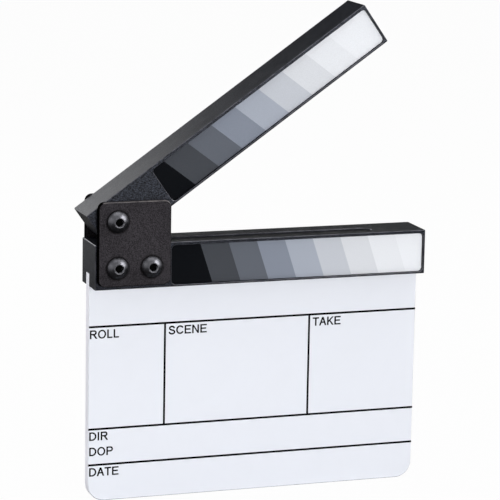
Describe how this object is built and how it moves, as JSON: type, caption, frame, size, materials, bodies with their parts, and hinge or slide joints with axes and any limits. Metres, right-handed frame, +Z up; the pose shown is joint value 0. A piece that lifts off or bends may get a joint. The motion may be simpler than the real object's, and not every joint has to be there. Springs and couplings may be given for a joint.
{
  "type": "clapperboard",
  "caption": "Small film clapperboard: a white writing board hangs from a black lower stick, and a hinged clapping arm with a matching grey-scale strip swings on plates at its end.",
  "frame": {"origin": "middle of the board's bottom edge, at half the board's thickness", "axes": "+X along the sticks away from the hinge, +Y to the back, +Z up from the board to the sticks; the written face looks along -Y"},
  "size_m": [0.1271, 0.0248, 0.1761],
  "materials": {
    "board_acrylic": "satin white acrylic sheet with printed ruling",
    "stick_black": "bead-blasted, black anodised",
    "plate_black": "fine-textured black",
    "screw_black": "black oxide, lightly oiled",
    "bare_steel": "turned steel",
    "keeper_steel": "blackened steel strip",
    "grey_scale": "matt printed steps from black to white",
    "washer_nylon": "natural nylon",
    "magnet_nickel": "nickel plated"
  },
  "bodies": {
    "slate": {"slate_board": "board_acrylic", "lower_stick": "stick_black", "lower_grey_strip": "grey_scale", "keeper_strip": "keeper_steel", "hinge_plate_front": "plate_black", "hinge_plate_rear": "plate_black", "pivot_sleeve": "bare_steel", "pivot_screw_front": "screw_black", "pivot_screw_rear": "screw_black", "friction_washer_front": "washer_nylon", "friction_washer_rear": "washer_nylon", "plate_screw_front_outer": "screw_black", "plate_screw_front_inner": "screw_black", "plate_screw_rear_outer": "screw_black", "plate_screw_rear_inner": "screw_black", "board_set_screw_1": "screw_black", "board_set_screw_2": "screw_black", "board_set_screw_3": "screw_black"},
    "clap_arm": {"upper_stick": "stick_black", "upper_grey_strip": "grey_scale", "closing_magnet_1": "magnet_nickel", "closing_magnet_2": "magnet_nickel"}
  },
  "joints": [
    {"name": "clap_hinge", "type": "hinge", "parent": "slate", "child": "clap_arm", "pos_m": [-0.0544, -0.0012, 0.1026], "axis": [0, -1, 0], "range_deg": [-35.2, 59.8]}
  ]
}
